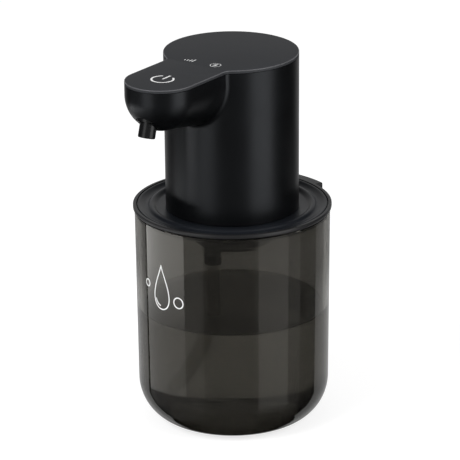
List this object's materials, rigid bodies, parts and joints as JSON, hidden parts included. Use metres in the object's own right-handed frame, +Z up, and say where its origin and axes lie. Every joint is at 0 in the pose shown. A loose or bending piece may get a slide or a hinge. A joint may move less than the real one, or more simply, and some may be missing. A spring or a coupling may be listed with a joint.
{
  "type": "automatic soap dispenser",
  "caption": "Touch-free soap dispenser: a clear round bottle with a lift-off black pump head, a keyhole-shaped top and a rounded spout with a tilted nozzle.",
  "frame": {"origin": "centre of the flat base that the dispenser stands on", "axes": "+Z up along the bottle's axis; -Y points out of the spout; +Y is the back, with the hook and the charging port"},
  "size_m": [0.08, 0.1045, 0.1546],
  "materials": {
    "smoky_clear": "clear smoky plastic, glossy",
    "collar_plastic": "black plastic, satin gloss",
    "lid_plastic": "black plastic, satin",
    "black_rubber": "soft matte rubber",
    "shell_plastic": "black plastic, satin",
    "panel_plastic": "charcoal plastic, smooth matte",
    "nozzle_plastic": "black plastic, satin gloss",
    "dark_window": "dark gloss window for infrared light",
    "circuit_board": "green solder mask",
    "clear_lens": "clear moulded lens",
    "dark_lens": "dark moulded lens",
    "clear_silicone": "soft clear silicone",
    "copper_pad": "bare copper",
    "milky_clear": "milky clear plastic",
    "battery_wrap": "blue shrink wrap",
    "inner_plastic": "black plastic, plain",
    "plated_steel": "nickel plated",
    "white_nylon": "white nylon",
    "natural_nylon": "natural nylon",
    "smoky_tube": "smoky clear tube",
    "socket_steel": "plated socket shell",
    "cover_rubber": "soft black rubber, satin"
  },
  "bodies": {
    "bottle": {"bottle": "smoky_clear", "collar_ring": "collar_plastic"},
    "head": {"lid_disc": "lid_plastic", "lid_gasket": "black_rubber", "head_shell": "shell_plastic", "top_panel": "panel_plastic", "nozzle": "nozzle_plastic", "outlet_valve": "black_rubber", "sensor_window": "dark_window", "sensor_board": "circuit_board", "ir_emitter": "clear_lens", "ir_receiver": "dark_lens", "outlet_hose": "clear_silicone", "main_board": "circuit_board", "touch_electrode": "copper_pad", "level_light_guide": "milky_clear", "charge_light_guide": "milky_clear", "battery_cell": "battery_wrap", "chassis": "inner_plastic", "motor_can": "plated_steel", "motor_end_cap": "white_nylon", "pump_housing": "inner_plastic", "pump_cover": "inner_plastic", "shaft_seal": "black_rubber", "idler_pin": "plated_steel", "dip_tube": "smoky_tube", "usb_socket": "socket_steel", "usb_board": "circuit_board", "chassis_screw_1": "plated_steel", "chassis_screw_2": "plated_steel", "chassis_screw_3": "plated_steel", "pump_screw_1": "plated_steel", "pump_screw_2": "plated_steel", "pump_screw_3": "plated_steel"},
    "drive_gear": {"drive_gear": "natural_nylon"},
    "idler_gear": {"idler_gear": "natural_nylon"},
    "port_cover": {"port_cover": "cover_rubber"}
  },
  "joints": [
    {"name": "head_lift", "type": "slide", "parent": "bottle", "child": "head", "axis": [0, 0, 1], "range_m": [0, 0.08]},
    {"name": "drive_spin", "type": "hinge", "parent": "head", "child": "drive_gear", "pos_m": [0.005, 0, 0.084], "axis": [0, 0, 1], "continuous": true},
    {"name": "idler_spin", "type": "hinge", "parent": "head", "child": "idler_gear", "pos_m": [-0.005, 0, 0.084], "axis": [0, 0, 1], "continuous": true},
    {"name": "cover_swing", "type": "hinge", "parent": "head", "child": "port_cover", "pos_m": [0, 0.02637, 0.0984], "axis": [-1, 0, 0], "range_deg": [0, 100]}
  ],
  "couplings": [
    {"joint": "idler_spin", "follows": "drive_spin", "ratio": -1}
  ]
}
